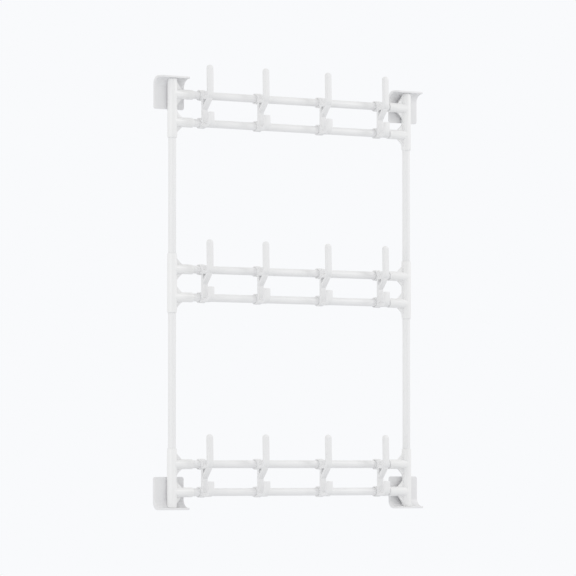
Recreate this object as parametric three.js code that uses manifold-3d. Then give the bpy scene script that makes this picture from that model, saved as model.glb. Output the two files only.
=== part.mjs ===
// Wall rack: two steel uprights, three tiers of two steel bars, six moulded corner
// fittings, four angle brackets on adhesive pads and twelve clip-on double hooks.
// Millimetres, +Z up. X runs along the wall and the room is on the -Y side.
// Origin: on the wall, midway between the uprights, level with the foot of the lower brackets.

import * as THREE from 'three';
import { mergeVertices } from 'three/addons/utils/BufferGeometryUtils.js';
import Module from 'manifold-3d';

const wasm = await Module();
wasm.setup();

// Frame
const UPRIGHT_SPACING = 616;        // centre line to centre line
const RACK_HEIGHT = 881.5;          // foot of the lower brackets to the top of the upper ones
const AXIS_TO_WALL = 15.5;          // every tube's centre line to the wall
const BAR_SPACING = 57;             // between the two bars of a tier
const END_BAR_HEIGHT = 35.75;       // outermost bar to the nearest end of the rack
const MID_TIER_HEIGHT = 432.25;     // lower bar of the middle tier
const GAP = 0.3;                    // clearance between parts that touch

// Steel tube, used for the bars and the uprights
const TUBE_RADIUS = 8;
const TUBE_WALL = 1;
const TUBE_SIDES = 24;

// Moulded corner fitting
const SLEEVE_RADIUS = 10;
const SOCKET_RADIUS = 8.45;
const SLEEVE_REACH = 32;            // sleeve end beyond the nearest bar's centre line
const ARM_LENGTH = 50;              // arm end from the upright's centre line
const ARM_STOP = 12;                // bottom of an arm's socket from that centre line
const WEB_HALF = 2;                 // half of the stop between the two upright tubes
const END_STOP = 45;                // stop of the upright in an end fitting, from the rack's end
const GUSSET_THICKNESS = 3.5;
const GUSSET_REACH = 16;
const GUSSET_RISE = 15;
const END_GUSSET_REACH = 14;
const END_GUSSET_RISE = 19.5;

// Angle bracket and its pad
const BRACKET_WIDTH = 75.5;
const BRACKET_HEIGHT = 67;
const PLATE_CORNER = 4.5;
const FLANGE_CORNER = 9;
const PLATE_BACK = 1.5;             // back of the plate to the wall
const PLATE_FRONT = 5;              // front of the plate to the wall
const FLANGE_THICKNESS = 4;
const FLANGE_DEPTH = 30.5;          // front edge of the flange to the wall
const INNER_ROUND = 18;             // between the plate and the flange
const OUTER_ROUND = 16;
const SPIGOT_RADIUS = 7.9;
const SPIGOT_LENGTH = 16;
const PAD_THICKNESS = 1.2;
const PAD_MARGIN = 2;               // the pad is this much smaller than the plate all round

// Double hook; its profile is measured forward of and above the upper bar's centre line
const HOOK_WIDTH = 14.5;
const HOOK_DISTANCES = [73.8, 218, 381.7, 535.2];   // from the left upright, hooks 1 to 4
const CLIP_RADIUS = 11;
const CLIP_BORE = 8.5;
const CLIP_HALF_ANGLE = 0.74 * Math.PI;
const STRAP_FRONT = 14;
const STRAP_BACK = 8.6;
const STRAP_OVERRUN = 9;            // strap beyond the two bars' centre lines
const PRONG_THICKNESS = 8.5;
const PRONG_BACK = 26.5;            // back of the long prong at its foot
const PRONG_LEAN = 1.5;             // how far the tip leans back towards the bar
const PRONG_TIP = 61.2;
const ARM_TOP = -1;
const ARM_UNDERSIDE = -9.5;
const STRUT_TOP = -21;              // where the strut's upper face meets the strap
const STRUT_FOOT = -31;
const LIP_BACK = 29;                // back of the short prong
const LIP_TIP = 22;                 // short prong's tip above the lower bar's centre line
const CURVE_POINTS = 2;             // a rounded corner has twice as many straight steps
const CLIP_STEPS = 9;

const WHITE_STEEL = { color: 0xebebed, roughness: 0.38, metalness: 0.1 };
const WHITE_PLASTIC = { color: 0xe8e8ea, roughness: 0.45, metalness: 0 };
const HOOK_PLASTIC = { color: 0xe4e4e7, roughness: 0.42, metalness: 0 };
const PAD_FOAM = { color: 0xdedfe1, roughness: 0.9, metalness: 0 };

// Turns a closed three.js geometry into a solid that can be joined and cut.
function solid(geometry) {
  geometry.deleteAttribute('normal');
  geometry.deleteAttribute('uv');
  const merged = mergeVertices(geometry);
  return new wasm.Manifold(new wasm.Mesh({
    numProp: 3,
    vertProperties: new Float32Array(merged.attributes.position.array),
    triVerts: new Uint32Array(merged.index.array),
  }));
}

// Turns a solid back into a geometry.
function surface(body) {
  const mesh = body.getMesh();
  const geometry = new THREE.BufferGeometry();
  geometry.setAttribute('position', new THREE.BufferAttribute(mesh.vertProperties, 3));
  geometry.setIndex(new THREE.BufferAttribute(mesh.triVerts, 1));
  geometry.computeVertexNormals();
  return geometry;
}

function join(bodies) {
  return bodies.reduce((whole, body) => whole.add(body));
}

// Round bar along Z through (x, y).
function rodAlongZ(radius, bottom, top, x = 0, y = 0) {
  const rod = new THREE.CylinderGeometry(radius, radius, top - bottom, TUBE_SIDES);
  rod.rotateX(Math.PI / 2);
  rod.translate(x, y, (bottom + top) / 2);
  return solid(rod);
}

// Round bar along X at height z.
function rodAlongX(radius, start, end, z = 0) {
  const rod = new THREE.CylinderGeometry(radius, radius, Math.abs(end - start), TUBE_SIDES);
  rod.rotateZ(Math.PI / 2);
  rod.translate((start + end) / 2, 0, z);
  return solid(rod);
}

// Extrudes a shape drawn as (X, Z) so that it lies between the depths y0 and y1.
function extrudeFrontView(shape, y0, y1) {
  const geometry = new THREE.ExtrudeGeometry(shape, {
    depth: y1 - y0, bevelEnabled: false, curveSegments: CURVE_POINTS });
  geometry.applyMatrix4(new THREE.Matrix4().makeBasis(
    new THREE.Vector3(1, 0, 0), new THREE.Vector3(0, 0, 1), new THREE.Vector3(0, -1, 0)));
  geometry.translate(0, y1, 0);
  return solid(geometry);
}

// Extrudes a shape drawn as (forward, Z), centred across a width along X.
function extrudeSideView(shape, width) {
  const geometry = new THREE.ExtrudeGeometry(shape, {
    depth: width, bevelEnabled: false, curveSegments: CURVE_POINTS });
  geometry.applyMatrix4(new THREE.Matrix4().makeBasis(
    new THREE.Vector3(0, -1, 0), new THREE.Vector3(0, 0, 1), new THREE.Vector3(-1, 0, 0)));
  geometry.translate(width / 2, 0, 0);
  return solid(geometry);
}

// Outline of a plate with square corners at y = 0 and round ones at y = height.
function tabShape(width, height, radius) {
  const half = width / 2;
  const shape = new THREE.Shape();
  shape.moveTo(-half, 0);
  shape.lineTo(half, 0);
  shape.lineTo(half, height - radius);
  shape.absarc(half - radius, height - radius, radius, 0, Math.PI / 2, false);
  shape.absarc(-half + radius, height - radius, radius, Math.PI / 2, Math.PI, false);
  shape.closePath();
  return shape;
}

function triangle(a, b, c) {
  const shape = new THREE.Shape();
  shape.moveTo(...a);
  shape.lineTo(...b);
  shape.lineTo(...c);
  shape.closePath();
  return shape;
}

// Hollow tube of the given length, centred on its own middle and lying along Z.
function tube(length) {
  const outside = rodAlongZ(TUBE_RADIUS, -length / 2, length / 2);
  const inside = rodAlongZ(TUBE_RADIUS - TUBE_WALL, -length / 2 - 1, length / 2 + 1);
  return surface(outside.subtract(inside));
}

// Thin web in the corner between the sleeve and an arm. rise is negative below the arm.
function gusset(armHeight, reach, rise, side) {
  const foot = armHeight + Math.sign(rise) * (SLEEVE_RADIUS - 1);
  const root = SLEEVE_RADIUS - 1;
  const tip = foot + rise + Math.sign(rise);
  const corners = [[side * root, foot], [side * (root + reach + 1), foot], [side * root, tip]];
  if (side * rise < 0) corners.reverse();
  return extrudeFrontView(triangle(...corners), -GUSSET_THICKNESS / 2, GUSSET_THICKNESS / 2);
}

// Two arms with their sockets and the gussets between them, on arm heights low and high.
function armsAndGussets(low, high, side) {
  const arms = [low, high].map((z) => rodAlongX(SLEEVE_RADIUS, 0, side * ARM_LENGTH, z));
  const inner = [
    gusset(low, GUSSET_REACH, GUSSET_RISE, side),
    gusset(high, GUSSET_REACH, -GUSSET_RISE, side),
  ];
  return join([...arms, ...inner]);
}

function armSockets(low, high, side) {
  const [start, end] = [side * ARM_STOP, side * (ARM_LENGTH + 1)];
  return join([low, high].map((z) => rodAlongX(SOCKET_RADIUS, start, end, z)));
}

// Middle fitting, centred between its two arms, with the arms pointing along +X.
function middleFitting() {
  const high = BAR_SPACING / 2;
  const end = high + SLEEVE_REACH;
  const body = join([
    rodAlongZ(SLEEVE_RADIUS, -end, end),
    armsAndGussets(-high, high, 1),
    gusset(high, GUSSET_REACH, GUSSET_RISE, 1),
    gusset(-high, GUSSET_REACH, -GUSSET_RISE, 1),
  ]);
  const sockets = join([
    rodAlongZ(SOCKET_RADIUS, -end - 1, -WEB_HALF),
    rodAlongZ(SOCKET_RADIUS, WEB_HALF, end + 1),
    armSockets(-high, high, 1),
  ]);
  return surface(body.subtract(sockets));
}

// A bracket's outline from the side, with its inner faces moved inwards by a clearance. Its outer
// corner is square where outerRound is 0.
function bracketProfile(clearance, outerRound) {
  const back = PLATE_BACK - AXIS_TO_WALL;
  const front = FLANGE_DEPTH - AXIS_TO_WALL;
  const plate = PLATE_FRONT - AXIS_TO_WALL + clearance;
  const flange = FLANGE_THICKNESS + clearance;
  const shape = new THREE.Shape();
  shape.moveTo(back + outerRound, 0);
  shape.lineTo(front, 0);
  shape.lineTo(front, flange);
  shape.lineTo(plate + INNER_ROUND, flange);
  shape.absarc(plate + INNER_ROUND, flange + INNER_ROUND, INNER_ROUND,
    -Math.PI / 2, -Math.PI, true);
  shape.lineTo(plate, BRACKET_HEIGHT);
  shape.lineTo(back, BRACKET_HEIGHT);
  if (outerRound > 0) {
    shape.absarc(back + outerRound, outerRound, outerRound, -Math.PI, -Math.PI / 2, false);
  }
  shape.closePath();
  return extrudeSideView(shape, BRACKET_WIDTH);
}

// End fitting as it stands on a lower bracket; side is +1 when the arms point along +X.
function endFitting(side) {
  const low = END_BAR_HEIGHT;
  const high = low + BAR_SPACING;
  const foot = FLANGE_THICKNESS + GAP;
  const top = high + SLEEVE_REACH;
  const body = join([
    rodAlongZ(SLEEVE_RADIUS, foot, top),
    armsAndGussets(low, high, side),
    gusset(high, GUSSET_REACH, GUSSET_RISE, side),
    gusset(low, END_GUSSET_REACH, -END_GUSSET_RISE, side),
  ]);
  const sockets = join([
    rodAlongZ(SOCKET_RADIUS, foot - 1, FLANGE_THICKNESS + SPIGOT_LENGTH + 1),
    rodAlongZ(SOCKET_RADIUS, END_STOP, top + 1),
    armSockets(low, high, side),
  ]);
  return surface(body.subtract(sockets).subtract(bracketProfile(GAP, 0)));
}

// Lower wall bracket on the upright's centre line; the upper one is the same part turned over.
function wallBracket() {
  const toWall = AXIS_TO_WALL;
  const plateOutline = extrudeFrontView(tabShape(BRACKET_WIDTH, BRACKET_HEIGHT, PLATE_CORNER),
    toWall - FLANGE_DEPTH, toWall);
  const flangeShape = tabShape(BRACKET_WIDTH, FLANGE_DEPTH - PLATE_BACK, FLANGE_CORNER);
  const flangeGeometry = new THREE.ExtrudeGeometry(flangeShape, {
    depth: BRACKET_HEIGHT, bevelEnabled: false, curveSegments: CURVE_POINTS });
  flangeGeometry.rotateX(Math.PI);
  flangeGeometry.translate(0, toWall - PLATE_BACK, BRACKET_HEIGHT);
  const profile = bracketProfile(0, OUTER_ROUND);
  const angle = profile.intersect(plateOutline).intersect(solid(flangeGeometry));
  const spigot = rodAlongZ(SPIGOT_RADIUS, FLANGE_THICKNESS - 1, FLANGE_THICKNESS + SPIGOT_LENGTH);
  return surface(angle.add(spigot));
}

// Foam pad on the flat back of the plate, clear of the bracket's round outer corner.
function adhesivePad() {
  const width = BRACKET_WIDTH - 2 * PAD_MARGIN;
  const height = BRACKET_HEIGHT - OUTER_ROUND - PAD_MARGIN;
  const shape = tabShape(width, height, PLATE_CORNER - PAD_MARGIN);
  const pad = extrudeFrontView(shape, AXIS_TO_WALL - PAD_THICKNESS, AXIS_TO_WALL);
  return surface(pad.translate(0, 0, OUTER_ROUND));
}

// Blank of the C-shaped clip round a bar at height z, open towards the wall; not yet bored.
function clip(z) {
  const shape = new THREE.Shape();
  shape.moveTo(0, z);
  shape.absarc(0, z, CLIP_RADIUS, -CLIP_HALF_ANGLE, CLIP_HALF_ANGLE, false);
  shape.closePath();
  const geometry = new THREE.ExtrudeGeometry(shape, {
    depth: HOOK_WIDTH, bevelEnabled: false, curveSegments: CLIP_STEPS });
  geometry.applyMatrix4(new THREE.Matrix4().makeBasis(
    new THREE.Vector3(0, -1, 0), new THREE.Vector3(0, 0, 1), new THREE.Vector3(-1, 0, 0)));
  geometry.translate(HOOK_WIDTH / 2, 0, 0);
  return solid(geometry);
}

function strap() {
  const corner = 3;
  const [bottom, top] = [-BAR_SPACING - STRAP_OVERRUN, STRAP_OVERRUN];
  const shape = new THREE.Shape();
  shape.moveTo(STRAP_BACK, bottom + 4);
  shape.lineTo(STRAP_BACK - 3, bottom);
  shape.lineTo(STRAP_FRONT - corner, bottom);
  shape.absarc(STRAP_FRONT - corner, bottom + corner, corner, -Math.PI / 2, 0, false);
  shape.absarc(STRAP_FRONT - corner, top - corner, corner, 0, Math.PI / 2, false);
  shape.lineTo(STRAP_BACK - 3, top);
  shape.lineTo(STRAP_BACK, top - 4);
  shape.closePath();
  return extrudeSideView(shape, HOOK_WIDTH);
}

// Long prong with its arm and the strut that braces it against the strap.
function longProng() {
  const root = STRAP_FRONT - 1;
  const front = PRONG_BACK + PRONG_THICKNESS;
  const nose = PRONG_THICKNESS / 2;
  const heel = 8;
  const throat = 5;
  const tipMiddle = PRONG_BACK - PRONG_LEAN + nose;
  const shape = new THREE.Shape();
  shape.moveTo(root, STRUT_FOOT);
  shape.lineTo(front - heel, ARM_UNDERSIDE - 3.5);
  shape.quadraticCurveTo(front, ARM_UNDERSIDE, front, ARM_UNDERSIDE + heel + 1);
  shape.lineTo(tipMiddle + nose, PRONG_TIP - nose);
  shape.absarc(tipMiddle, PRONG_TIP - nose, nose, 0, Math.PI, false);
  shape.lineTo(PRONG_BACK, ARM_TOP + throat);
  shape.absarc(PRONG_BACK - throat, ARM_TOP + throat, throat, 0, -Math.PI / 2, true);
  shape.lineTo(root, ARM_TOP);
  shape.closePath();
  const window = new THREE.Path();
  window.moveTo(STRAP_FRONT, ARM_UNDERSIDE);
  window.lineTo(STRAP_FRONT, STRUT_TOP);
  window.lineTo(PRONG_BACK - 3, ARM_UNDERSIDE);
  window.closePath();
  shape.holes.push(window);
  return extrudeSideView(shape, HOOK_WIDTH);
}

// Short prong in front of the lower bar.
function shortProng() {
  const bar = -BAR_SPACING;
  const root = STRAP_FRONT - 1;
  const front = LIP_BACK + PRONG_THICKNESS;
  const heel = 9;
  const throat = 5;
  const corner = 3;
  const underside = bar + ARM_UNDERSIDE - 1;
  const shape = new THREE.Shape();
  shape.moveTo(root, underside + 2);
  shape.lineTo(root + 3, underside);
  shape.lineTo(front - heel, underside);
  shape.absarc(front - heel, underside + heel, heel, -Math.PI / 2, 0, false);
  shape.absarc(front - corner, bar + LIP_TIP - corner, corner, 0, Math.PI / 2, false);
  shape.absarc(LIP_BACK + corner, bar + LIP_TIP - corner, corner, Math.PI / 2, Math.PI, false);
  shape.lineTo(LIP_BACK, bar + ARM_TOP + throat);
  shape.absarc(LIP_BACK - throat, bar + ARM_TOP + throat, throat, 0, -Math.PI / 2, true);
  shape.lineTo(root, bar + ARM_TOP);
  shape.closePath();
  return extrudeSideView(shape, HOOK_WIDTH);
}

// Rounds a prong's tip across its width, seen from the front.
function tipCutter(tip, sideReach) {
  const half = HOOK_WIDTH / 2;
  const shape = new THREE.Shape();
  shape.moveTo(-half, tip - sideReach);
  shape.absellipse(0, tip - sideReach, half, sideReach, Math.PI, 0, true);
  shape.lineTo(half + 1, tip - sideReach);
  shape.lineTo(half + 1, tip + 1);
  shape.lineTo(-half - 1, tip + 1);
  shape.lineTo(-half - 1, tip - sideReach);
  shape.closePath();
  const depth = -STRAP_FRONT - 4;
  return extrudeFrontView(shape, depth - 40, depth);
}

function doubleHook() {
  const body = join([clip(0), clip(-BAR_SPACING), strap(), longProng(), shortProng()]);
  const bores = join([0, -BAR_SPACING].map(
    (z) => rodAlongX(CLIP_BORE, -HOOK_WIDTH, HOOK_WIDTH, z)));
  return surface(body.subtract(bores).subtract(tipCutter(PRONG_TIP, 7)));
}

const rack = new THREE.Group();
const frame = new THREE.Group();
frame.position.y = -AXIS_TO_WALL;
rack.add(frame);

// Puts a named part in the tube plane, turned over about Y when it hangs from the top.
function place(name, geometry, finish, x, z, turnedOver = false) {
  const mesh = new THREE.Mesh(geometry, new THREE.MeshStandardMaterial(finish));
  mesh.name = name;
  mesh.position.set(x, 0, z);
  mesh.rotation.y = turnedOver ? Math.PI : 0;
  frame.add(mesh);
  return mesh;
}

const SIDES = { left: -1, right: 1 };
const TIERS = {
  bottom: END_BAR_HEIGHT,
  mid: MID_TIER_HEIGHT,
  top: RACK_HEIGHT - END_BAR_HEIGHT - BAR_SPACING,
};
const MID_CENTRE = MID_TIER_HEIGHT + BAR_SPACING / 2;

const endFittings = { left: endFitting(1), right: endFitting(-1) };
const midFitting = middleFitting();
const bracket = wallBracket();
const pad = adhesivePad();

for (const [sideName, sign] of Object.entries(SIDES)) {
  const x = sign * UPRIGHT_SPACING / 2;
  const opposite = sideName === 'left' ? 'right' : 'left';
  place(`fitting_bottom_${sideName}`, endFittings[sideName], WHITE_PLASTIC, x, 0);
  place(`fitting_top_${sideName}`, endFittings[opposite], WHITE_PLASTIC, x, RACK_HEIGHT, true);
  const middle = place(`fitting_mid_${sideName}`, midFitting, WHITE_PLASTIC, x, MID_CENTRE);
  middle.rotation.z = sideName === 'left' ? 0 : Math.PI;

  const lowerEnds = [END_STOP + GAP, MID_CENTRE - WEB_HALF - GAP];
  const upperEnds = [MID_CENTRE + WEB_HALF + GAP, RACK_HEIGHT - END_STOP - GAP];
  for (const [name, [from, to]] of Object.entries({ lower: lowerEnds, upper: upperEnds })) {
    place(`upright_${name}_${sideName}`, tube(to - from), WHITE_STEEL, x, (from + to) / 2);
  }

  place(`wall_bracket_bottom_${sideName}`, bracket, WHITE_PLASTIC, x, 0);
  place(`wall_bracket_top_${sideName}`, bracket, WHITE_PLASTIC, x, RACK_HEIGHT, true);
  place(`adhesive_pad_bottom_${sideName}`, pad, PAD_FOAM, x, 0);
  place(`adhesive_pad_top_${sideName}`, pad, PAD_FOAM, x, RACK_HEIGHT, true);
}

const barGeometry = tube(UPRIGHT_SPACING - 2 * (ARM_STOP + GAP));
const hookGeometry = doubleHook();

for (const [tier, height] of Object.entries(TIERS)) {
  for (const [name, z] of Object.entries({ lower: height, upper: height + BAR_SPACING })) {
    place(`bar_${tier}_${name}`, barGeometry, WHITE_STEEL, 0, z).rotation.y = Math.PI / 2;
  }
  HOOK_DISTANCES.forEach((distance, index) => {
    const x = distance - UPRIGHT_SPACING / 2;
    place(`hook_${tier}_${index + 1}`, hookGeometry, HOOK_PLASTIC, x, height + BAR_SPACING);
  });
}

export default rack;
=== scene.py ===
"""Wall rack: a rigid frame of white steel tube pushed into moulded fittings, held off the wall by
four angle brackets on foam tape, with twelve double hooks that slide along its paired bars.
Sizes are in millimetres, and each finished mesh is brought to the frame's metres."""
import math

import bmesh
import bpy
from mathutils import Matrix, Vector


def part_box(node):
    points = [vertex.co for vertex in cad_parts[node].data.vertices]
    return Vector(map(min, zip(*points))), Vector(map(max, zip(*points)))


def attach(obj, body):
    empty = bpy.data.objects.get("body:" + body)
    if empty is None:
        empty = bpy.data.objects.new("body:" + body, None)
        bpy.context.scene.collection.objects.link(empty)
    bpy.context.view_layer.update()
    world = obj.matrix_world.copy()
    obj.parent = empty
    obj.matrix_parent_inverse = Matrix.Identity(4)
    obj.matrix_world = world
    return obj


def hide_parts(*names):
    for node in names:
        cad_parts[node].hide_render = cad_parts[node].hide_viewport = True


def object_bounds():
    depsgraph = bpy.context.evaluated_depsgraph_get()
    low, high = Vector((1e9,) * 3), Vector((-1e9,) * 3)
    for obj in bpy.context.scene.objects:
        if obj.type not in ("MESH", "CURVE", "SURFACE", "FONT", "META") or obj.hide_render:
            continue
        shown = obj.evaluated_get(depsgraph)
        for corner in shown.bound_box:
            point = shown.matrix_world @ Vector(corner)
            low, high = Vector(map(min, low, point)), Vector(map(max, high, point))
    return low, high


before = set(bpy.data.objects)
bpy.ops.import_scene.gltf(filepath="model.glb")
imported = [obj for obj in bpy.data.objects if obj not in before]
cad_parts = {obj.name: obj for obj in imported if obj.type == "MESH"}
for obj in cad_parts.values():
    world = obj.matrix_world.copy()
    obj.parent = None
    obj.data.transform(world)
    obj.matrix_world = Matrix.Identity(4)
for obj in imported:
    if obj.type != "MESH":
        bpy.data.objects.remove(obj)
cad_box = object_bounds()

# ---- Camera ----
# A long lens far from the wall, to the left of the rack and a little below its middle, so the
# bars run gently down to the right and the uprights stay upright.
CAMERA_TURN = 38            # degrees round to the left of straight on
CAMERA_TILT = 2.23          # degrees upwards
CAMERA_DISTANCE = 9.356     # metres
CAMERA_LENS = 282.3         # on a sensor 36 mm wide
AIM_FROM_CENTRE = Vector((-0.0089, 0.0115, 0.004))

rack_centre = (cad_box[0] + cad_box[1]) / 2
collection = bpy.context.scene.collection


def bearing(azimuth, elevation):
    """The direction from the rack to a place that far round to its right and that far up."""
    round_by, up_by = math.radians(azimuth), math.radians(elevation)
    level = math.cos(up_by)
    return Vector((math.sin(round_by) * level, -math.cos(round_by) * level, math.sin(up_by)))


camera_data = bpy.data.cameras.new("camera")
camera_data.sensor_width = 36
camera_data.lens = CAMERA_LENS
camera_data.clip_end = 60
camera = bpy.data.objects.new("camera", camera_data)
towards_camera = bearing(-CAMERA_TURN, -CAMERA_TILT)
camera.location = rack_centre + AIM_FROM_CENTRE + towards_camera * CAMERA_DISTANCE
camera.rotation_euler = (math.radians(90 + CAMERA_TILT), 0, math.radians(-CAMERA_TURN))
collection.objects.link(camera)
bpy.context.scene.camera = camera

# ---- Studio ----
# A near-white cyclorama lights the rack from everywhere. A soft light well round to the right gives
# the shading, and a broad one low on the left lights the uprights and opens the shadows.
BACKDROP_WHITE = "F9FAFC"
FLOOR_PALE = "ECEDEF"
FLOOR_BELOW_RACK = 1.0      # metres
FLOOR_RADIUS = 12

bpy.context.scene.view_settings.view_transform = "Standard"


def linear(colour):
    """The linear colour, with alpha, of an sRGB hex value."""
    parts = [int(colour[at:at + 2], 16) / 255 for at in (0, 2, 4)]
    return [c / 12.92 if c <= 0.04045 else ((c + 0.055) / 1.055) ** 2.4 for c in parts] + [1]


def add_node(tree, kind, settings=None, links=None):
    """Adds a node. Settings are its options or its inputs' values, and each link feeds an input from
    (another node, that node's output)."""
    node = tree.nodes.new(kind)
    inputs = {socket.identifier: socket for socket in node.inputs}
    for name, value in (settings or {}).items():
        if name in inputs:
            inputs[name].default_value = value
        else:
            setattr(node, name, value)
    for name, (source, output) in (links or {}).items():
        outputs = {socket.identifier: socket for socket in source.outputs}
        tree.links.new(outputs[output], inputs[name])
    return node


def new_material(name):
    """A material with nothing in it yet, and its node tree."""
    material = bpy.data.materials.new(name)
    material.use_nodes = True
    material.node_tree.nodes.clear()
    return material, material.node_tree


def finish_material(tree, settings, links):
    """Adds the surface shader with its settings and links, and shows it."""
    surface = add_node(tree, "ShaderNodeBsdfPrincipled", settings, links)
    add_node(tree, "ShaderNodeOutputMaterial", links={"Surface": (surface, "BSDF")})


def softbox(name, azimuth, elevation, distance, size, watts):
    """A square light at that bearing, turned towards the middle of the rack."""
    light = bpy.data.lights.new(name, "AREA")
    light.size = size
    light.energy = watts
    lamp = bpy.data.objects.new(name, light)
    away = bearing(azimuth, elevation)
    lamp.location = rack_centre + away * distance
    lamp.rotation_euler = away.to_track_quat("Z", "Y").to_euler()
    collection.objects.link(lamp)


world = bpy.data.worlds.new("cyclorama")
world.use_nodes = True
bpy.context.scene.world = world
sky = world.node_tree
sky.nodes.clear()
backdrop = add_node(sky, "ShaderNodeBackground", {"Color": linear(BACKDROP_WHITE)})
ambient = add_node(sky, "ShaderNodeBackground", {"Color": linear("F9F9F8"), "Strength": 0.92})
ray = add_node(sky, "ShaderNodeLightPath")
either = add_node(sky, "ShaderNodeMixShader", links={
    "Fac": (ray, "Is Camera Ray"),
    "Shader": (ambient, "Background"),
    "Shader_001": (backdrop, "Background"),
})
add_node(sky, "ShaderNodeOutputWorld", links={"Surface": (either, "Shader")})

softbox("key", azimuth=58, elevation=24, distance=4, size=1.1, watts=27)
softbox("fill", azimuth=-68, elevation=6, distance=5, size=2.4, watts=32)

floor_shape = bmesh.new()
bmesh.ops.create_circle(floor_shape, cap_ends=True, segments=96, radius=FLOOR_RADIUS)
bmesh.ops.translate(floor_shape, verts=floor_shape.verts, vec=(0, 0, -FLOOR_BELOW_RACK))
floor_mesh = bpy.data.meshes.new("floor")
floor_shape.to_mesh(floor_mesh)
floor_shape.free()
floor_paint, floor_tree = new_material("matt_floor_paint")
finish_material(floor_tree, {"Base Color": linear(FLOOR_PALE), "Roughness": 0.9}, {})
floor_mesh.materials.append(floor_paint)
floor = bpy.data.objects.new("floor", floor_mesh)
collection.objects.link(floor)

# ---- Adhesive pads ----
# Double-sided foam tape, die-cut to the flat part of the bracket's plate with two rounded corners.
# It is closed-cell white foam, squeezed a little by the plate, and its cells show on the cut edge, with
# painted shade in the bottom of each cell pit.
SIDES = {"left": -1, "right": 1}
ENDS = {"bottom": 1, "top": -1}
TO_METRES = 0.001
CREASE = 32                 # degrees; a blunter edge than this is shaded smooth
FOAM_WHITE = "DCDDDF"
# painted shade: the colour at the bottom of each foam cell pit
FOAM_PIT_PAINTED_SHADE = "CDCED1"
FOAM_CELL = 1.6             # drawn coarser than the real 0.3 mm cells, which wouldn't show
PAD_CORNER = 2.5
PAD_EDGE = 0.35

foot, rack_top = cad_box[0].z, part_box("wall_bracket_top_left")[1].z
tube_boxes = {side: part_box(f"upright_lower_{side}") for side in SIDES}
upright_axis = {side: (low + high) / 2 for side, (low, high) in tube_boxes.items()}


def from_axis(point):
    """A point near the lower left corner, in millimetres from the upright's axis at the rack's foot."""
    axis = upright_axis["left"]
    return (point - Vector((axis.x, axis.y, foot))) / TO_METRES


def corner_place(side, end):
    """Brings a mesh made for the lower left corner, in millimetres, to any corner of the rack."""
    axis = upright_axis[side]
    level = foot if end == "bottom" else rack_top
    flip = Matrix.Diagonal((-SIDES[side], 1, ENDS[end], 1))
    return Matrix.Translation((axis.x, axis.y, level)) @ Matrix.Scale(TO_METRES, 4) @ flip


def draw(bm, corners, place, steps=6):
    """A flat face. Each corner is (a, b) or (a, b, setback), with its rounding that far from it."""
    points = [bm.verts.new(place(*corner[:2])) for corner in corners]
    bm.faces.new(points)
    for point, corner in zip(points, corners):
        if len(corner) > 2:
            bmesh.ops.bevel(bm, geom=[point], offset=corner[2], segments=steps, profile=0.5,
                            affect="VERTICES", material=-1)
    bm.faces.ensure_lookup_table()
    return bm.faces[0]


def push(bm, face, move):
    """Extrudes a face by a distance and returns the new end face."""
    grown = bmesh.ops.extrude_face_region(bm, geom=[face])["geom"]
    end = next(item for item in grown if isinstance(item, bmesh.types.BMFace))
    bmesh.ops.translate(bm, verts=end.verts, vec=move)
    return end


def side_view(forward, height):
    return Vector((0, -forward, height))


def front_view(across, height):
    return Vector((across, 0, height))


def soften(bm, radius, steps=3, sharper_than=30):
    """Rounds every edge that is sharper than an angle."""
    bmesh.ops.recalc_face_normals(bm, faces=bm.faces)
    limit = math.radians(sharper_than)
    edges = [edge for edge in bm.edges if edge.calc_face_angle(0) > limit]
    bmesh.ops.bevel(bm, geom=edges, offset=radius, segments=steps, profile=0.5,
                    affect="EDGES", clamp_overlap=True, material=-1)
    return bm


def slab(corners, place, start, end, edge):
    """A plate drawn in a view and pushed from start to end at right angles to it, with soft edges."""
    bm = bmesh.new()
    push(bm, draw(bm, corners, place), end - start)
    bmesh.ops.translate(bm, verts=bm.verts, vec=start)
    return soften(bm, edge)


def as_mesh(bm):
    """Ends a bmesh: its normals point outwards and it becomes a mesh."""
    bmesh.ops.recalc_face_normals(bm, faces=bm.faces)
    mesh = bpy.data.meshes.new("shape")
    bm.to_mesh(mesh)
    bm.free()
    return mesh


def show(name, node, shape, place, material, body):
    """Adds a piece: the shape brought to its place, riding on a body in a CAD node's stead."""
    mesh = shape.copy()
    mesh.name = name
    mesh.transform(place)
    if place.determinant() < 0:
        mesh.flip_normals()
    mesh.polygons.foreach_set("use_smooth", [True] * len(mesh.polygons))
    mesh.set_sharp_from_angle(angle=math.radians(CREASE))
    mesh.materials.clear()
    mesh.materials.append(material)
    piece = bpy.data.objects.new(name, mesh)
    collection.objects.link(piece)
    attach(piece, body)
    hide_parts(node)
    return piece


def foam():
    """Polyethylene foam tape: dead matt, with painted shade darkening the bottom of each cell pit."""
    material, tree = new_material("closed_cell_foam_tape")
    here = add_node(tree, "ShaderNodeTexCoord")
    cells = add_node(tree, "ShaderNodeTexVoronoi", {"Scale": 1 / (FOAM_CELL * TO_METRES)},
                     {"Vector": (here, "Object")})
    # painted shade: the colour darkens towards each cell's middle, where the bump sinks its pit
    tone = add_node(tree, "ShaderNodeMix",
                    {"data_type": "RGBA", "A_Color": linear(FOAM_PIT_PAINTED_SHADE), "B_Color": linear(FOAM_WHITE)},
                    {"Factor_Float": (cells, "Distance")})
    pits = add_node(tree, "ShaderNodeBump", {"Strength": 0.6, "Distance": 0.0002},
                    {"Height": (cells, "Distance")})
    finish_material(tree, {"Roughness": 0.95, "Specular IOR Level": 0.25},
                    {"Base Color": (tone, "Result_Color"), "Normal": (pits, "Normal")})
    return material


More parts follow.
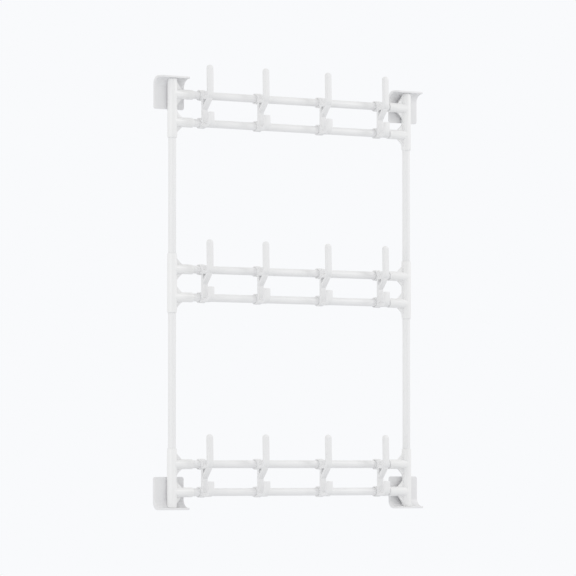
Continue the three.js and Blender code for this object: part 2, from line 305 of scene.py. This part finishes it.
pad_low, pad_high = (from_axis(corner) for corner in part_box("adhesive_pad_bottom_left"))
pad_shape = as_mesh(slab(
    [(pad_low.x, pad_low.z, 1), (pad_high.x, pad_low.z, 1),
     (pad_high.x, pad_high.z, PAD_CORNER), (pad_low.x, pad_high.z, PAD_CORNER)],
    front_view, Vector((0, pad_low.y, 0)), Vector((0, pad_high.y, 0)), PAD_EDGE))
foam_tape = foam()
for side in SIDES:
    for end in ENDS:
        node = f"adhesive_pad_{end}_{side}"
        pad = show(f"{node}_tape", node, pad_shape, corner_place(side, end), foam_tape,
                   "frame")

# ---- Wall brackets ----
# One moulding in white ABS, used four times: a back plate that bends round into a flange, with a
# plug on the flange that the end fitting is pushed over.
PLATE_THICK = 3.5
FLANGE_THICK = 4
INNER_ROUND, OUTER_ROUND = 18, 16   # of the bend
PLATE_CORNER, FLANGE_CORNER = 4.5, 9
BRACKET_EDGE = 1.2
PLUG_RADIUS = 7.9
PLUG_TOP = 20
PLUG_RIM = 1.5
ROUND_STEPS = 64            # sides of everything round
BRACKET_WHITE = "E9E9EA"
FITTING_WHITE = "F0F0F0"


def turned(corners):
    """A solid of revolution about Z, from its outline as (radius, height)."""
    bm = bmesh.new()
    face = draw(bm, corners, front_view, steps=4)
    on_axis = [edge for edge in face.edges if all(v.co.x < 1e-6 for v in edge.verts)]
    outline = [edge for edge in face.edges if edge not in on_axis]
    bmesh.ops.delete(bm, geom=[face], context="FACES_ONLY")
    bmesh.ops.delete(bm, geom=on_axis, context="EDGES")
    bmesh.ops.spin(bm, geom=outline, cent=(0, 0, 0), axis=(0, 0, 1), angle=math.tau,
                   steps=ROUND_STEPS, use_merge=True)
    bmesh.ops.remove_doubles(bm, verts=bm.verts, dist=1e-4)
    return bm


def fused(parts, cuts=()):
    """One mesh from closed solids: the parts joined, and the cuts taken out of them."""
    made = []
    for bm in [*parts, *cuts]:
        made.append(bpy.data.objects.new("blank", as_mesh(bm)))
        collection.objects.link(made[-1])
    for number, tool in enumerate(made[1:], start=1):
        step = made[0].modifiers.new("step", "BOOLEAN")
        step.operation = "UNION" if number < len(parts) else "DIFFERENCE"
        step.solver = "EXACT"
        step.object = tool
    graph = bpy.context.evaluated_depsgraph_get()
    mesh = bpy.data.meshes.new_from_object(made[0].evaluated_get(graph))
    for blank in made:
        bpy.data.objects.remove(blank)
    return mesh


def moulded_plastic(name, colour, shade, roughness, grain, depth):
    """Satin plastic from a spark-eroded mould: an even colour that clouds a little over the flow of
    the melt, and a fine grain that breaks up the gloss."""
    material, tree = new_material(name)
    here = add_node(tree, "ShaderNodeTexCoord")
    cloud = add_node(tree, "ShaderNodeTexNoise", {"Scale": 22.0, "Detail": 2.0},
                     {"Vector": (here, "Object")})
    tone = add_node(tree, "ShaderNodeMix",
                    {"data_type": "RGBA", "A_Color": linear(shade), "B_Color": linear(colour)},
                    {"Factor_Float": (cloud, "Fac")})
    peaks = add_node(tree, "ShaderNodeTexNoise",
                     {"Scale": 1 / (grain * TO_METRES), "Detail": 3.0, "Roughness": 0.6},
                     {"Vector": (here, "Object")})
    gloss = add_node(tree, "ShaderNodeMapRange",
                     {"From Min": 0.3, "From Max": 0.7,
                      "To Min": roughness - 0.05, "To Max": roughness + 0.05},
                     {"Value": (peaks, "Fac")})
    relief = add_node(tree, "ShaderNodeBump", {"Strength": 0.5, "Distance": depth * TO_METRES},
                      {"Height": (peaks, "Fac")})
    finish_material(tree, {"IOR": 1.53},
                    {"Base Color": (tone, "Result_Color"), "Roughness": (gloss, "Result"),
                     "Normal": (relief, "Normal")})
    return material


bracket_low, bracket_high = (from_axis(corner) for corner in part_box("wall_bracket_bottom_left"))
plate_back, flange_front = -bracket_high.y, -bracket_low.y
plate_front = plate_back + PLATE_THICK
bracket_height = bracket_high.z
bracket_width = bracket_high.x - bracket_low.x


def bracket_outline(*outer_round, clearance=0):
    """The bracket from the side, with its inner faces moved inwards by a clearance."""
    inner = (plate_front + clearance, FLANGE_THICK + clearance, INNER_ROUND)
    return [(plate_back, 0, *outer_round), (flange_front, 0), (flange_front, inner[1]), inner,
            (inner[0], bracket_height), (plate_back, bracket_height)]


def bracket():
    bm = bmesh.new()
    outline = draw(bm, bracket_outline(OUTER_ROUND), side_view, steps=12)
    push(bm, outline, Vector((bracket_width, 0, 0)))
    bmesh.ops.translate(bm, verts=bm.verts, vec=(-bracket_width / 2, 0, 0))
    for radius, at_corner in ((PLATE_CORNER, is_plate_corner), (FLANGE_CORNER, is_flange_corner)):
        corners = [edge for edge in bm.edges if at_corner(edge)]
        bmesh.ops.bevel(bm, geom=corners, offset=radius, segments=10, profile=0.5,
                        affect="EDGES", material=-1)
    soften(bm, BRACKET_EDGE)
    plug = turned([(0, FLANGE_THICK - 1), (PLUG_RADIUS, FLANGE_THICK - 1),
                   (PLUG_RADIUS, PLUG_TOP, PLUG_RIM), (0, PLUG_TOP)])
    return fused([bm, plug])


def edge_line(edge):
    """The middle of an edge and the way it runs."""
    start, end = (vert.co for vert in edge.verts)
    return (start + end) / 2, (end - start).normalized()


def is_plate_corner(edge):
    """Whether an edge is at one of the plate's two free corners."""
    middle, along = edge_line(edge)
    at_side = abs(abs(middle.x) - bracket_width / 2) < 0.01
    return at_side and abs(middle.z - bracket_height) < 0.01 and abs(along.y) > 0.99


def is_flange_corner(edge):
    """Whether an edge is at one of the flange's two front corners."""
    middle, along = edge_line(edge)
    at_side = abs(abs(middle.x) - bracket_width / 2) < 0.01
    return at_side and abs(-middle.y - flange_front) < 0.01 and abs(along.z) > 0.99


bracket_shape = bracket()
bracket_abs = moulded_plastic("moulded_abs_satin", BRACKET_WHITE, "E4E4E6", roughness=0.42,
                              grain=2.2, depth=0.03)
for side in SIDES:
    for end in ENDS:
        node = f"wall_bracket_{end}_{side}"
        show(f"{node}_moulding", node, bracket_shape, corner_place(side, end), bracket_abs,
             "frame")

# ---- Fittings ----
# Moulded in white ABS in one shot: an upright sleeve with two sideways sockets for the bars and thin
# webs in the corners. The end ones plug onto a bracket, and the middle ones join two uprights.
SOCKET_RADIUS = 8.15        # a push fit on a tube of radius 8
SLEEVE_RIM = 0.9
MOUTH_CHAMFER = 0.3
SOCKET_BOTTOM = 12          # from the upright's axis
STOP_HALF = 2               # half the wall between the two uprights in a middle fitting
WEB_THICK = 3.5
WEB_REACH, WEB_RISE = 16, 15
END_WEB_REACH, END_WEB_RISE = 14, 19.5
WEB_ARCH = 1.0              # how far a web's free edge is hollowed
WEB_ARCH_ROUND = 7
WEB_EDGE = 0.7
TOUCH_GAP = 0.3             # between a fitting and its bracket

bar_box = {tier: {row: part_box(f"bar_{tier}_{row}") for row in ("lower", "upper")}
           for tier in ("bottom", "mid", "top")}
fitting_low, fitting_high = (from_axis(corner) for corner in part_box("fitting_bottom_left"))
sleeve_radius = -fitting_low.x
arm_end = fitting_high.x


def bar_height(tier, row):
    low, high = bar_box[tier][row]
    return from_axis((low + high) / 2).z


def along_x(bm, height):
    """Lays a turned solid down so that it points along X, at a height."""
    bmesh.ops.rotate(bm, verts=bm.verts, matrix=Matrix.Rotation(math.pi / 2, 3, "Y"))
    bmesh.ops.translate(bm, verts=bm.verts, vec=(0, 0, height))
    return bm


def sleeve(bottom, top):
    return turned([(0, bottom), (sleeve_radius, bottom, SLEEVE_RIM),
                   (sleeve_radius, top, SLEEVE_RIM), (0, top)])


def arm(height):
    return along_x(turned([(0, 0), (sleeve_radius, 0), (sleeve_radius, arm_end, SLEEVE_RIM),
                           (0, arm_end)]), height)


def bore(bottom, mouth):
    """What a drill would take out from the mouth down to the bottom, with a lead-in chamfer."""
    out = 1 if mouth > bottom else -1
    wide = SOCKET_RADIUS + MOUTH_CHAMFER
    return turned([(0, bottom), (SOCKET_RADIUS, bottom), (SOCKET_RADIUS, mouth - out * MOUTH_CHAMFER),
                   (wide, mouth), (wide, mouth + out), (0, mouth + out)])


def web(arm_height, reach, rise):
    """The thin triangle in a corner above an arm, or below it where rise is negative."""
    up = math.copysign(1, rise)
    inset = sleeve_radius - 1
    foot_height = arm_height + up * inset
    tip = (inset, foot_height + rise + up)
    toe = (inset + reach + 1, foot_height)
    hollow = ((tip[0] + toe[0]) / 2 - WEB_ARCH, (tip[1] + toe[1]) / 2 - up * WEB_ARCH,
              WEB_ARCH_ROUND)
    half = Vector((0, WEB_THICK / 2, 0))
    return slab([(inset - 1, foot_height - up), (toe[0], foot_height - up), toe, hollow, tip,
                 (inset - 1, tip[1])], front_view, -half, half, WEB_EDGE)


def fitting(arm_heights, bottom, top, webs, sockets, cuts=()):
    """Joins a sleeve, its arms and its webs, and takes the sockets out of them."""
    arm_sockets = [along_x(bore(SOCKET_BOTTOM, arm_end), height) for height in arm_heights]
    parts = [sleeve(bottom, top), *(arm(height) for height in arm_heights), *(web(*w) for w in webs)]
    return fused(parts, [*sockets, *arm_sockets, *cuts])


def end_fitting():
    low, high = bar_height("bottom", "lower"), bar_height("bottom", "upper")
    stop = from_axis(tube_boxes["left"][0]).z - TOUCH_GAP
    half = bracket_width / 2
    seat = slab(bracket_outline(clearance=TOUCH_GAP), side_view,
                Vector((-half, 0, 0)), Vector((half, 0, 0)), 0.01)
    webs = [(high, WEB_REACH, WEB_RISE), (high, WEB_REACH, -WEB_RISE), (low, WEB_REACH, WEB_RISE),
            (low, END_WEB_REACH, -END_WEB_RISE)]
    sockets = [bore(stop, fitting_high.z), bore(PLUG_TOP + 1, fitting_low.z)]
    return fitting([low, high], fitting_low.z, fitting_high.z, webs, sockets, [seat])


def mid_fitting():
    low, high = bar_height("mid", "lower"), bar_height("mid", "upper")
    bottom, top = (from_axis(corner).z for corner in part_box("fitting_mid_left"))
    middle = (bottom + top) / 2
    webs = [(height, WEB_REACH, rise) for height in (low, high) for rise in (WEB_RISE, -WEB_RISE)]
    sockets = [bore(middle - STOP_HALF, bottom), bore(middle + STOP_HALF, top)]
    return fitting([low, high], bottom, top, webs, sockets)


end_shape, mid_shape = end_fitting(), mid_fitting()
fitting_abs = moulded_plastic("moulded_abs_fine_grain", FITTING_WHITE, "ECECED", roughness=0.4,
                              grain=2.0, depth=0.025)
for side in SIDES:
    for tier, shape, end in (("bottom", end_shape, "bottom"), ("mid", mid_shape, "bottom"),
                             ("top", end_shape, "top")):
        node = f"fitting_{tier}_{side}"
        show(f"{node}_moulding", node, shape, corner_place(side, end), fitting_abs,
             "frame")

# ---- Steel tubes ----
# Thin welded steel tube, powder coated white after cutting: four lengths for the uprights and six
# bars. The ends are deburred, and each is pushed into a fitting's socket.
TUBE_WALL = 1
TUBE_RIM = 0.3
COAT_WHITE = "EDEDEE"
COAT_SHADE = "EAEAEB"
PEEL_SIZE = 3.5             # the coat's orange peel, drawn coarser than its real 1.5 mm


def powder_coat():
    """Polyester powder coat, baked on: smoother and a little glossier than the plastic, with the
    faint orange peel of the flowed powder."""
    material, tree = new_material("powder_coated_steel")
    here = add_node(tree, "ShaderNodeTexCoord")
    drift = add_node(tree, "ShaderNodeTexNoise", {"Scale": 9.0, "Detail": 1.0},
                     {"Vector": (here, "Object")})
    tone = add_node(tree, "ShaderNodeMix",
                    {"data_type": "RGBA", "A_Color": linear(COAT_SHADE), "B_Color": linear(COAT_WHITE)},
                    {"Factor_Float": (drift, "Fac")})
    peel = add_node(tree, "ShaderNodeTexNoise",
                    {"Scale": 1 / (PEEL_SIZE * TO_METRES), "Detail": 1.0}, {"Vector": (here, "Object")})
    gloss = add_node(tree, "ShaderNodeMapRange",
                     {"From Min": 0.3, "From Max": 0.7, "To Min": 0.44, "To Max": 0.54},
                     {"Value": (peel, "Fac")})
    relief = add_node(tree, "ShaderNodeBump", {"Strength": 0.4, "Distance": 0.00005},
                      {"Height": (peel, "Fac")})
    finish_material(tree, {"IOR": 1.5, "Coat Weight": 0.08, "Coat Roughness": 0.35},
                    {"Base Color": (tone, "Result_Color"), "Roughness": (gloss, "Result"),
                     "Normal": (relief, "Normal")})
    return material


coated_steel = powder_coat()


def show_tube(node):
    """Makes the tube that fills a CAD node's box, along the box's longest side."""
    low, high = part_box(node)
    centre, size = (low + high) / 2, (high - low) / TO_METRES
    upright = size.z > size.x
    half, radius = max(size) / 2, size.y / 2
    inside = radius - TUBE_WALL
    bm = turned([(inside, -half, TUBE_RIM), (radius, -half, TUBE_RIM),
                 (radius, half, TUBE_RIM), (inside, half, TUBE_RIM)])
    if not upright:
        along_x(bm, 0)
    place = Matrix.Translation(centre) @ Matrix.Scale(TO_METRES, 4)
    show(f"{node}_tube", node, as_mesh(bm), place, coated_steel, "frame")


for side in SIDES:
    show_tube(f"upright_lower_{side}")
    show_tube(f"upright_upper_{side}")
for tier in bar_box:
    show_tube(f"bar_{tier}_lower")
    show_tube(f"bar_{tier}_upper")

# ---- Double hooks ----
# One moulding in tough white polypropylene: two clips that snap over the bars from the front, a
# strap between them, a long prong braced from below, and a short prong. It slides along the bars.
CLIP_OUTSIDE, CLIP_INSIDE = 11, 8.2     # the clip all but closes on the bar
CLIP_HALF_TURN = math.radians(133)
CLIP_EDGE = 0.6
CLIP_LIP = 0.8              # rounding of the clip's two free ends
CLIP_INSET = 0.25           # the clip is this much narrower than the strap on each side
STRAP_BACK, STRAP_FRONT = 8.6, 14
STRAP_OVERRUN = 9           # beyond each bar's axis
STRAP_CORNER = 2.5
STRAP_TAPER = (3, 4)        # chamfer at each end of its back, across and along the strap
STRAP_EDGE = 1.5
PRONG_THICK = 8.5
PRONG_ROUND = 3.2           # the corners of a prong's section
PRONG_BACK = 26.5           # back of the long prong, forward of the bar's axis
PRONG_LEAN = 1.5            # degrees back towards the wall
PRONG_DOME = 6.5
ARM_TOP = -1                # above the bar's axis
THROAT = 4.5                # inside radius between an arm and its prong
SHORT_BACK = 29
SHORT_TIP = 22              # above the lower bar's axis
SHORT_TIP_ROUND = 2
DOME_RINGS = 7
STRUT_TOP, STRUT_FOOT = -21, -31
STRUT_EDGE = 1.5
STRUT_INSET = 0.4
HOOK_WHITE = "EBEBEC"

hook_low, hook_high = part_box("hook_top_1")
hook_width = (hook_high.x - hook_low.x) / TO_METRES
upper_bar_middle = sum(bar_box["top"]["upper"], Vector()) / 2
prong_tip = (hook_high.z - upper_bar_middle.z) / TO_METRES
bar_spacing = bar_height("top", "upper") - bar_height("top", "lower")


def clip(height):
    """A C-shaped spring clip round a bar, open towards the wall."""
    width = hook_width - 2 * CLIP_INSET
    bm = bmesh.new()
    wall = draw(bm, [(-width / 2, CLIP_INSIDE, CLIP_EDGE), (width / 2, CLIP_INSIDE, CLIP_EDGE),
                     (width / 2, CLIP_OUTSIDE, CLIP_EDGE), (-width / 2, CLIP_OUTSIDE, CLIP_EDGE)],
                lambda across, out: Vector((across, -out, 0)), steps=3)
    bmesh.ops.rotate(bm, verts=bm.verts, matrix=Matrix.Rotation(-CLIP_HALF_TURN, 3, "X"))
    bmesh.ops.spin(bm, geom=[wall], cent=(0, 0, 0), axis=(1, 0, 0), angle=2 * CLIP_HALF_TURN,
                   steps=48)
    bmesh.ops.remove_doubles(bm, verts=bm.verts, dist=1e-4)
    soften(bm, CLIP_LIP, sharper_than=60)
    bmesh.ops.translate(bm, verts=bm.verts, vec=(0, 0, height))
    return bm


def strap():
    bottom, top = -bar_spacing - STRAP_OVERRUN, STRAP_OVERRUN
    half = Vector((hook_width / 2, 0, 0))
    inwards, along = STRAP_TAPER
    return slab([(STRAP_BACK, bottom + along), (STRAP_BACK - inwards, bottom),
                 (STRAP_FRONT, bottom, STRAP_CORNER), (STRAP_FRONT, top, STRAP_CORNER),
                 (STRAP_BACK - inwards, top), (STRAP_BACK, top - along)],
                side_view, -half, half, STRAP_EDGE)


def bent_prong(arm_top, back, lean, tip, dome):
    """A flat rounded bar from the strap forwards, then up. The dome is its tip's height, or 0."""
    bm = bmesh.new()
    across, middle = hook_width / 2, arm_top - PRONG_THICK / 2
    end = draw(bm, [(x * across, middle + z * PRONG_THICK / 2, PRONG_ROUND)
                    for x, z in ((-1, -1), (1, -1), (1, 1), (-1, 1))], front_view)
    bmesh.ops.translate(bm, verts=bm.verts, vec=(0, 1 - STRAP_FRONT, 0))
    bend = side_view(back - THROAT, arm_top + THROAT)
    end = push(bm, end, Vector((0, bend.y + STRAP_FRONT - 1, 0)))
    turn = math.radians(90 + lean)
    spun = bmesh.ops.spin(bm, geom=[end], cent=bend, axis=(1, 0, 0), angle=-turn, steps=10)
    end = next(item for item in spun["geom_last"] if isinstance(item, bmesh.types.BMFace))
    upwards = Vector((0, math.sin(math.radians(lean)), math.cos(math.radians(lean))))
    straight = (tip - dome - end.calc_center_median().z) / upwards.z
    end = push(bm, end, upwards * straight)
    rings = DOME_RINGS if dome else 0
    for ring in range(1, rings + 1):
        was, now = ((ring - 1) / (rings + 0.4), ring / (rings + 0.4))
        rise = math.sin(now * math.pi / 2) - math.sin(was * math.pi / 2)
        shrink = math.cos(now * math.pi / 2) / math.cos(was * math.pi / 2)
        end = push(bm, end, upwards * dome * rise)
        about = Matrix.Translation(-end.calc_center_median())
        bmesh.ops.scale(bm, verts=end.verts, vec=(shrink, shrink, shrink), space=about)
    if not dome:
        bmesh.ops.bevel(bm, geom=list(end.edges), offset=SHORT_TIP_ROUND, segments=4, profile=0.5,
                        affect="EDGES", material=-1)
    return bm


def strut():
    """The brace under the long prong's arm, which leaves a three-cornered window behind it."""
    half = Vector((hook_width / 2 - STRUT_INSET, 0, 0))
    root = STRAP_FRONT - 1.5
    under = ARM_TOP - PRONG_THICK
    return slab([(root, STRUT_FOOT - 1), (PRONG_BACK + 1.5, under - 2.5), (PRONG_BACK + 4, under + 3),
                 (PRONG_BACK - 2, under + 2), (root, STRUT_TOP - 1.5)],
                side_view, -half, half, STRUT_EDGE)


hook_shape = fused([
    strap(),
    clip(0),
    clip(-bar_spacing),
    bent_prong(ARM_TOP, PRONG_BACK, PRONG_LEAN, prong_tip, PRONG_DOME),
    bent_prong(ARM_TOP - bar_spacing, SHORT_BACK, 0, SHORT_TIP - bar_spacing, 0),
    strut(),
])
hook_plastic = moulded_plastic("moulded_polypropylene", HOOK_WHITE, "E7E7E8", roughness=0.46,
                               grain=2.4, depth=0.03)
for tier in bar_box:
    bar_low, bar_high = bar_box[tier]["upper"]
    bar_middle = (bar_low + bar_high) / 2
    for number in range(1, 5):
        node = f"hook_{tier}_{number}"
        low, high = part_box(node)
        place = Matrix.Translation(((low.x + high.x) / 2, bar_middle.y, bar_middle.z))
        show(f"{node}_moulding", node, hook_shape, place @ Matrix.Scale(TO_METRES, 4),
             hook_plastic, node)
